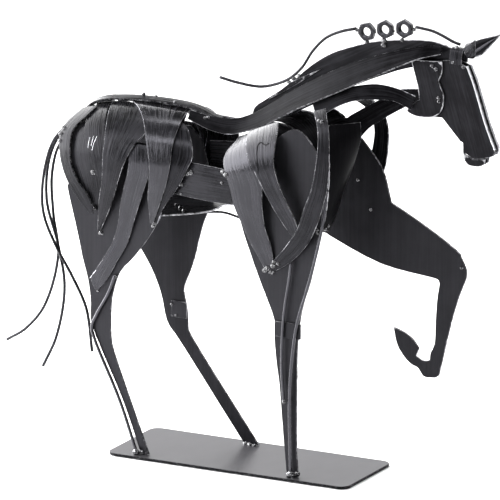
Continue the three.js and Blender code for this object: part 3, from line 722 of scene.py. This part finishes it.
class HORSE_OT_base(bpy.types.Operator):
    """Base plate with rounded corners"""
    bl_idname = "horse.base"
    bl_label = "Base plate"

    def execute(self, context):
        low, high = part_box("base_plate")
        bm = bmesh.new()
        made = bmesh.ops.create_grid(bm, x_segments=1, y_segments=1, size=0.5)
        for vert in made["verts"]:
            vert.co = Vector((vert.co.x * (high.x - low.x), vert.co.y * (high.y - low.y),
                              (low.z + high.z) / 2))
        bmesh.ops.bevel(bm, geom=bm.verts[:], offset=BASE_CORNER * MM, offset_type="OFFSET", segments=12,
                        profile=0.5, affect="VERTICES", material=-1)
        rim = bm.verts.layers.float.new("rim")
        bmesh.ops.inset_region(bm, faces=bm.faces[:], thickness=1 * MM, depth=0, use_boundary=True)
        for vert in bm.verts:
            vert[rim] = 0.0 if vert.is_boundary else 1.0
        piece = shown("base_plate_sheet", bm, [finish_for(context, "base"), finish_for(context, "base_edge")],
                      "base_plate")
        thickened(piece, (high.z - low.z) / MM, context.scene.horse_sizes.edge_round * 1.4)
        # The rim faces take the second, darker material: painted shade on the plate's sides
        piece.modifiers["thickness"].material_offset_rim = 1
        return {"FINISHED"}


class HORSE_OT_legs(bpy.types.Operator):
    """Four leg plates, the hock tab and the knee band"""
    bl_idname = "horse.legs"
    bl_label = "Legs"

    def execute(self, context):
        for name in ("hind_leg_right", "hind_leg_left", "fore_leg_right", "fore_leg_left"):
            # The far (left) leg plates take their shaded copy of the leg paint: painted shade
            plate_piece(context, name, kind="far_leg" if name.endswith("left") else "leg")
        block_piece(context, "hock_tab_left")
        block_piece(context, "knee_band_right")
        return {"FINISHED"}


class HORSE_OT_rods(bpy.types.Operator):
    """Rods laid along the right legs"""
    bl_idname = "horse.rods"
    bl_label = "Leg rods"

    def execute(self, context):
        radius = context.scene.horse_sizes.rod_radius
        foot = BASE_THICK + GAP
        hind_y = -(LEG_FACE + GAP + 1)
        fore_y = -(LEG_FACE + GAP + SHEET + GAP + 1)
        hind = [(-77.4, 111.5), (-82.2, 99.4), (-89.5, 86.5), (-93.3, 77.5), (-91.6, 70.6), (-74.2, 33.6),
                (-62.9, foot + 1)]
        rear = [(42.6, 135), (41.8, 127), (39.2, 111.5), (37.2, 94), (36.5, 70), (37.9, 47.8)]
        front = [(66.6, 184), (65, 167.8), (59.6, 142.2), (52.5, 117), (47, 99), (43.3, 74.7), (41.7, 48),
                 (42.6, foot + 1)]
        wire_piece(context, "hind_rod_right", [(x, hind_y, z) for x, z in hind], radius, kind="rod")
        wire_piece(context, "fore_rod_rear", [(x, fore_y, z) for x, z in rear], radius * 0.9, kind="rod")
        wire_piece(context, "fore_rod_front", [(x, fore_y, z) for x, z in front], radius, kind="rod")
        return {"FINISHED"}


class HORSE_OT_trunk(bpy.types.Operator):
    """Flank bands, belly band and wire, and the spine strip"""
    bl_idname = "horse.trunk"
    bl_label = "Trunk"

    def execute(self, context):
        flank = ribbon_sheet([(-40, -25.9, 188), (-22, -28, 189), (2, -29.8, 188)],
                             [(-40, -25.9, 168), (-20, -28, 167), (5, -30, 167)], -0.8)
        for word, side in SIDES:
            sheet_piece(context, f"flank_band_{word}", flank, along=20, side=side, kind="side_strip",
                        seed=3 + side)
        run = [(-62, 151.5, 22.9), (-45, 152.4, 22.9), (-18, 156.6, 15), (-8, 161.5, 15), (4, 162.5, 15)]
        belly = ribbon_sheet([(x, -y, z) for x, z, y in run], [(x, y, z) for x, z, y in run])
        sheet_piece(context, "belly_band", belly, along=24, kind="side_strip", seed=7)
        run = [(-44, -5, 150.3), (-23, -5, 152.9), (-14, -6, 154), (6, -14, 153.5)]
        wire_piece(context, "belly_wire", run, BELLY_WIRE_RADIUS * MM, steps=24)
        run = [(-115.5, 183), (-114.4, 192.9), (-111, 202.7), (-104.5, 210), (-96.5, 213.4), (-87, 215),
               (-74, 216.2), (-50, 216.5), (-36, 215.1), (-28, 212.3), (-19, 208.6)]
        spine = ribbon_sheet([(x, -5, z) for x, z in run], [(x, 5, z) for x, z in run], 1.2)
        sheet_piece(context, "spine_strip", spine, along=60, kind="dull_strip", seed=9)
        return {"FINISHED"}


def build_strips(context, barrel, table, seed):
    """The right and the left strips of a barrel."""
    for i, (name, (layers, rows)) in enumerate(table.items()):
        count, rear_shift, front_shift = LEFT_CHANGES.get(name, (len(rows), 0, 0))
        left = [[girth, rear + rear_shift, front + front_shift] for girth, rear, front in rows[:count]]
        # The far shoulder strips take the neck's darker copy of the paint: painted shade
        far_finish = "neck_strip" if barrel is SHOULDER else STRIP_FINISH.get(name, "strip")
        for word, side, own, kind, own_seed in (
                ("right", 1, rows, STRIP_FINISH.get(name, "strip"), seed + i),
                ("left", -1, left, far_finish, seed + i + 20)):
            sheet_piece(context, f"{name}_{word}", barrel_sheet(barrel, own, layers), along=56, across=10,
                        side=side, kind=kind, seed=own_seed)


class HORSE_OT_hips(bpy.types.Operator):
    """Tapered strips bent round the hips"""
    bl_idname = "horse.hips"
    bl_label = "Hips"

    def execute(self, context):
        build_strips(context, HIP, HIP_STRIPS, 11)
        return {"FINISHED"}


class HORSE_OT_shoulders(bpy.types.Operator):
    """Curved strips round the shoulders"""
    bl_idname = "horse.shoulders"
    bl_label = "Shoulders"

    def execute(self, context):
        build_strips(context, SHOULDER, SHOULDER_STRIPS, 51)
        return {"FINISHED"}


class HORSE_OT_chest(bpy.types.Operator):
    """Chest plate and the throat strips"""
    bl_idname = "horse.chest"
    bl_label = "Chest and throat"

    def execute(self, context):
        chest = ribbon_sheet(
            [(62.8, -25.4, 158.5), (64.5, -25.4, 166), (66.5, -25.4, 180), (67.5, -25.6, 196), (66, -24, 211),
             (63.5, -20, 221)],
            [(56.5, -9, 153), (62.5, -8, 164), (68, -8, 180), (74.3, -8, 195.4), (79, -8, 212),
             (79, -8, 222)], -2.5)
        sheet_piece(context, "chest_plate", chest, along=30, across=12, kind="chest", seed=71)
        near = ribbon_sheet(
            [(51, -10, 221), (59, -10.4, 226.5), (67, -10.4, 231.5), (77, -10.4, 235.5), (93, -10, 238),
             (103, -9.2, 238), (112, -THROAT_END, 233.5)],
            [(47, -8, 230), (55, -8, 235), (63, -8, 239.5), (74, -8, 243.5), (90, -8.4, 247), (103, -8, 246),
             (115, -THROAT_END, 242)])
        sheet_piece(context, "throat_strip_right", near, kind="neck_strip", seed=72)
        far = ribbon_sheet(
            [(41, 12, 219), (53, 10.5, 222.5), (59.4, 10, 218), (64.5, 10, 221), (74, 10, 227), (84, 10, 233),
             (96, 9.4, 240), (110, THROAT_END, 243)],
            [(54, 13, 193), (68, 10, 205), (75.4, 10, 213.4), (85, 10, 220.4), (97, 9.4, 228),
             (107, 8.6, 233.5), (113, THROAT_END, 235)])
        sheet_piece(context, "throat_strip_left", far, kind="neck_strip", seed=73)
        return {"FINISHED"}


class HORSE_OT_neck(bpy.types.Operator):
    """Neck bands, the crest plate between them and the pointed strip"""
    bl_idname = "horse.neck"
    bl_label = "Neck"

    def execute(self, context):
        lower = [(-36.2, -10, 210.2), (-21, -10.5, 205.4), (-7.6, -11, 204.5), (13.8, -12, 212),
                 (39.8, -13, 226.5), (66.9, -12.5, 240.2), (96.7, -10, 255.5), (118, -8, 265.6),
                 (131, -5.4, 269.4)]
        for (word, side), sag in zip(SIDES, (0, 2.5)):
            upper = [(-36.2, -6, 214.6 - sag), (-22, -6, 213 - sag), (-7, -5.5, 213 - sag),
                     (5, -4, 217.3 - sag / 2), (28.9, -2.2, 233), (55.5, -2.2, 248.5), (88, -2.2, 263),
                     (121, -2.2, 272.5), (131, -2.2, 273.4)]
            sheet_piece(context, f"neck_band_{word}", ribbon_sheet(lower, upper), along=64, across=10,
                        side=side, kind="neck_strip", seed=80 + side)
        plate_piece(context, "crest_plate", kind="crest")
        plate_piece(context, "crest_strip", thick=SHEET, kind="crest", corner=10)
        return {"FINISHED"}


class HORSE_OT_head(bpy.types.Operator):
    """Head plates, bridge, cheeks and poll saddle"""
    bl_idname = "horse.head"
    bl_label = "Head"

    def execute(self, context):
        for word, side in SIDES:
            plate_piece(context, f"head_side_{word}", thick=HEAD_THICK, kind="head")
            plate_piece(context, f"cheek_plate_{word}", thick=SHEET, kind="cheek")
        half = HEAD_SIDE - HEAD_THICK / 2 - GAP
        bridge = ribbon_sheet([(x, -half, z) for x, z in BRIDGE_RUN], [(x, half, z) for x, z in BRIDGE_RUN],
                              0.4)
        sheet_piece(context, "bridge_strip", bridge, along=30, kind="bridge", seed=90)
        arch = [(-1, 0), (-0.97, 0.55), (-0.6, 0.92), (0, 1), (0.6, 0.92), (0.97, 0.55), (1, 0)]
        low, rise = 264.2, 9
        edges = [[(x, share * CHEEK_SIDE, low + rise * up) for share, up in arch] for x in (144.4, 136.6)]
        sheet_piece(context, "poll_saddle", ribbon_sheet(*edges), along=40, kind="saddle", seed=91)
        return {"FINISHED"}


class HORSE_OT_ears(bpy.types.Operator):
    """A cupped leaf for each ear"""
    bl_idname = "horse.ears"
    bl_label = "Ears"

    def execute(self, context):
        root = Vector((146.8, -HEAD_SIDE - 0.2, 270))
        across = Vector((0.62, 0.12, -0.77)).normalized()
        half_wide, cup = 4.5, 0.45

        def leaf_to(tip):
            out = (tip - root).normalized().cross(across).normalized()

            def leaf(u, v):
                half = half_wide * max(math.sin(math.pi * u ** 0.42), 0.06 + 0.5 * (1 - u) ** 6)
                share = 2 * v - 1
                return root.lerp(tip, u) + across * (share * half) + out * (cup * half * share ** 2)
            return leaf

        for (word, side), tip in zip(SIDES, ((160, -17, 284.3), (159.8, -17, 280))):
            sheet_piece(context, f"ear_{word}", leaf_to(Vector(tip)), along=30, across=12, thick=0.9,
                        side=side, seed=95 + side)
        return {"FINISHED"}


class HORSE_OT_mane(bpy.types.Operator):
    """Two mane wires and three hex nuts"""
    bl_idname = "horse.mane"
    bl_label = "Mane"

    def execute(self, context):
        radius = context.scene.horse_sizes.wire_radius
        wire_piece(context, "mane_wire_rear", [
            (-19.7, 0, 235.8), (-8, 0, 234), (8, 0, 233.4), (19.7, 0, 236.8), (27.8, 0, 241.2),
            (35.9, 0, 248.9), (42.7, 0, 259.4), (51.5, 0, 268.6), (61, 0, 273.6), (72, 0, 277)], radius)
        wire_piece(context, "mane_wire_front", [
            (111.8, 0, 282.7), (123.3, 0, 281.5), (131, 0, 279), (137, 0, 276.6), (141.4, 0, 275.6)], radius,
                   steps=30)
        for name, x, z, roll in (("mane_nut_rear", 79.3, 276, 15), ("mane_nut_middle", 91.6, 278.8, 0),
                                 ("mane_nut_front", 104.4, 280.8, 0)):
            self.nut(context, name, x, z, roll)
        return {"FINISHED"}

    def nut(self, context, name, x, z, roll):
        """A hex nut with turned chamfers and a threaded hole, its axis along Y."""
        half_flats, hole, half_high = 5.1, 3.0, 1.5
        chamfer_reach = half_flats * 0.97
        threads, thread_deep, lead_in = 5, 0.28, 0.35
        bm = bmesh.new()
        bmesh.ops.create_circle(bm, cap_ends=False, segments=72, radius=1)
        ring, edges = bm.verts[:], bm.edges[:]
        first = edges
        angles = [math.atan2(vert.co.y, vert.co.x) for vert in ring]
        mouth = hole + 0.45
        rings = [(mouth, -half_high, False), (chamfer_reach, -half_high, False), (None, -half_high, True),
                 (None, half_high, True), (chamfer_reach, half_high, False), (mouth, half_high, False)]
        for i in range(threads * 2 + 1):
            y = half_high - lead_in - i * (half_high - lead_in) / threads
            rings.append((hole - thread_deep if i % 2 else hole, y, False))
        for i, (radius, y, outer) in enumerate(rings):
            if i:
                ring, edges = next_ring(bm, edges)
            for vert, angle in zip(ring, angles):
                reach, drop = radius, 0.0
                if outer:
                    turn = (angle + math.pi / 6) % (math.pi / 3) - math.pi / 6
                    reach = half_flats / math.cos(turn)
                    drop = max(0.0, reach - chamfer_reach) * 0.62
                inward = y - math.copysign(drop, y)
                vert.co = Vector((reach * math.cos(angle), inward, reach * math.sin(angle)))
        bmesh.ops.bridge_loops(bm, edges=edges + first)
        bmesh.ops.recalc_face_normals(bm, faces=bm.faces[:])
        bmesh.ops.transform(bm, verts=bm.verts[:], matrix=Matrix.Rotation(math.radians(roll), 4, "Y"))
        bmesh.ops.transform(bm, verts=bm.verts[:], matrix=Matrix.Translation((x, 0, z)))
        bmesh.ops.scale(bm, verts=bm.verts[:], vec=(MM, MM, MM))
        rim = bm.verts.layers.float.new("rim")
        for vert in bm.verts:
            vert[rim] = 0.3
        for edge in bm.edges:
            edge.smooth = len(edge.link_faces) == 2 and edge.calc_face_angle(0) < math.radians(25)
        shown(f"{name}_hex", bm, [finish_for(context, "nut")], name)


class HORSE_OT_welds(bpy.types.Operator):
    """Weld beads at the joints, and the ground seams along the bridge of the nose, brightened partly as a
    painted highlight
    """
    bl_idname = "horse.welds"
    bl_label = "Welds"

    def execute(self, context):
        sight = Sight(context)
        for name, beads in WELDS.items():
            self.beads(context, f"weld_beads_{name}", [(sight.spot(u, v), radius) for u, v, radius in beads])
        # Bright steel lines along the front edges of the head plates, partly seams and partly a painted
        # highlight along the bridge
        for word, side in SIDES:
            run = [(x + 0.2, -side * HEAD_SIDE, z + 0.1) for x, z in HEAD_FRONT]
            self.seam(context, f"bridge_seam_{word}", run, SEAM_AND_HIGHLIGHT_RADIUS)
        for i, pixels in enumerate(SCRATCHES):
            run = [sight.spot(u, v) / MM for u, v in pixels]
            self.seam(context, f"paint_scratch_{i + 1}", run, SCRATCH_RADIUS)
        run = [sight.spot(u, v) / MM for u, v in WRINKLE]
        # The wrinkle is drawn in the chest's darker copy of the paint, a painted shade along its crease
        self.seam(context, "paint_wrinkle", run, WRINKLE_RADIUS, "chest")
        return {"FINISHED"}

    def beads(self, context, name, beads):
        """Squashed, lumpy balls that sink halfway into what they join, but not through the base plate."""
        unit = context.scene.horse_sizes.bead_radius
        bm = bmesh.new()
        for middle, radius in beads:
            made = bmesh.ops.create_icosphere(bm, subdivisions=3, radius=1)
            for vert in made["verts"]:
                lump = (1 + 0.22 * noise.noise(vert.co * 1.3 + middle / MM)
                        + 0.07 * noise.noise(vert.co * 4 + middle))
                squashed = Vector((vert.co.x * 1.1, vert.co.y * 0.8, vert.co.z))
                vert.co = middle + squashed * (lump * radius * unit)
                vert.co.z = max(vert.co.z, BEAD_FLOOR * MM)
        shown(name, bm, [finish_for(context, "weld")])

    def seam(self, context, name, run, radius, kind="bare"):
        """A rough thin line of metal or paint, as a lumpy round bar."""
        bm = round_bar(run, radius * MM, 90, 10)
        for vert in bm.verts:
            vert.co += Vector((1, 0, 0.4)) * (noise.noise(vert.co * 900) * radius * 0.4 * MM)
        shown(name, bm, [finish_for(context, kind)])


class HORSE_OT_tail(bpy.types.Operator):
    """Three tail wires that cross and splay"""
    bl_idname = "horse.tail"
    bl_label = "Tail"

    def execute(self, context):
        radius = context.scene.horse_sizes.wire_radius
        step = 2 * radius / MM + 2 * GAP
        runs = (
            [(-115.5, 198), (-126.8, 189.6), (-133.6, 179.6), (-139.3, 156.4), (-138.8, 136.6),
             (-130.2, 117.1), (-119.3, 99.8), (-109.8, 81.1), (-105.8, 54.3)],
            [(-116.4, 194.5), (-128.6, 186.4), (-136, 171), (-138, 144.4), (-130.4, 117.9), (-126, 91.7),
             (-131.5, 60.5), (-141, 39.9)],
            [(-117, 191), (-130, 180.5), (-135.7, 161), (-134.9, 135.6), (-131.7, 111), (-140.9, 78.1),
             (-154.1, 61.4), (-167.3, 52.5)],
        )
        for i, run in enumerate(runs):
            path = [(x, (i - 1) * step, z) for x, z in run]
            wire_piece(context, f"tail_wire_{i + 1}", path, radius, steps=90)
        return {"FINISHED"}


class HORSE_OT_stage(bpy.types.Operator):
    """Pale floor, soft boxes and the camera"""
    bl_idname = "horse.stage"
    bl_label = "Studio"

    def execute(self, context):
        look = context.scene.horse_studio
        bm = bmesh.new()
        bmesh.ops.create_grid(bm, x_segments=1, y_segments=1, size=6)
        mesh = bpy.data.meshes.new("studio_floor")
        bm.to_mesh(mesh)
        bm.free()
        floor = linked("studio_floor", mesh)
        mesh.materials.append(floor_paint("floor_pale", look))
        mesh.transform(Matrix.Translation((0, 0, -FLOOR_DROP * MM)))
        for name, where, aim, size, strength in (
                ("side_box", (-0.7, -0.09, 0.43), (0, -0.09, 0.4), (1.56, 0.78), look.side_light),
                ("far_tube", (0.05, 1.1, 1.0), (0.05, 0, 0.2), (1.9, 0.2), look.tube_light),
                ("middle_tube", (0.1, 0.26, 1.29), (0.1, 0, 0.2), (1.4, 0.14), look.tube_light),
                ("near_tube", (0.1, -0.65, 1.1), (0.1, 0, 0.2), (1.4, 0.22), look.tube_light),
                ("back_panel", (-0.55, 1.15, 0.34), (0, 0, 0.1), (1.4, 0.45), look.back_light)):
            self.soft_box(name, where, aim, size, strength)
        world = bpy.data.worlds.new("studio_room")
        context.scene.world = world
        world.use_nodes = True
        back = world.node_tree.nodes["Background"]
        back.inputs["Color"].default_value = (1, 1, 1, 1)
        back.inputs["Strength"].default_value = look.ambient
        context.scene.view_settings.view_transform = "Standard"
        self.camera(context, look)
        return {"FINISHED"}

    def soft_box(self, name, where, target, size, radiance):
        light = bpy.data.lights.new(name, "AREA")
        light.shape = "RECTANGLE"
        light.size, light.size_y = size
        light.energy = radiance * math.pi * size[0] * size[1]
        lamp = linked(name, light)
        lamp.location = where
        lamp.rotation_euler = (Vector(target) - Vector(where)).to_track_quat("-Z", "Y").to_euler()
        lamp.visible_camera = False

    def camera(self, context, look):
        """A long lens, turned to the near front side and a little above."""
        place, _, _, back = camera_frame(look.lens)
        lens = bpy.data.cameras.new("long_lens")
        lens.lens = look.lens
        lens.sensor_width = SENSOR
        lens.clip_end = 200
        camera = linked("camera", lens)
        camera.location = place
        camera.rotation_euler = (-back).to_track_quat("-Z", "Y").to_euler()
        context.scene.camera = camera


class HORSE_PT_panel(bpy.types.Panel):
    """The horse's steps in the sidebar"""
    bl_label = "Welded Strip Horse"
    bl_idname = "HORSE_PT_panel"
    bl_space_type = "VIEW_3D"
    bl_region_type = "UI"
    bl_category = "Horse"

    def draw(self, context):
        layout = self.layout
        for group in (context.scene.horse_sizes, context.scene.horse_paint, context.scene.horse_studio):
            for key in group.__annotations__:
                layout.prop(group, key)
        for step in STEPS:
            layout.operator(step.bl_idname)


STEPS = (HORSE_OT_base, HORSE_OT_legs, HORSE_OT_rods, HORSE_OT_trunk, HORSE_OT_hips, HORSE_OT_shoulders,
         HORSE_OT_chest, HORSE_OT_neck, HORSE_OT_head, HORSE_OT_ears, HORSE_OT_mane, HORSE_OT_tail,
         HORSE_OT_welds, HORSE_OT_stage)
GROUPS = {"horse_sizes": StripSizes, "horse_paint": PaintLook, "horse_studio": StudioLook}


def register():
    for group in GROUPS.values():
        bpy.utils.register_class(group)
    for name, group in GROUPS.items():
        setattr(bpy.types.Scene, name, bpy.props.PointerProperty(type=group))
    for step in STEPS:
        bpy.utils.register_class(step)
    bpy.utils.register_class(HORSE_PT_panel)


def unregister():
    bpy.utils.unregister_class(HORSE_PT_panel)
    for step in reversed(STEPS):
        bpy.utils.unregister_class(step)
    for name, group in GROUPS.items():
        delattr(bpy.types.Scene, name)
        bpy.utils.unregister_class(group)


def main():
    register()
    for step in STEPS:
        family, name = step.bl_idname.split(".")
        getattr(getattr(bpy.ops, family), name)()
    bpy.context.view_layer.update()


if __name__ == "__main__":
    main()
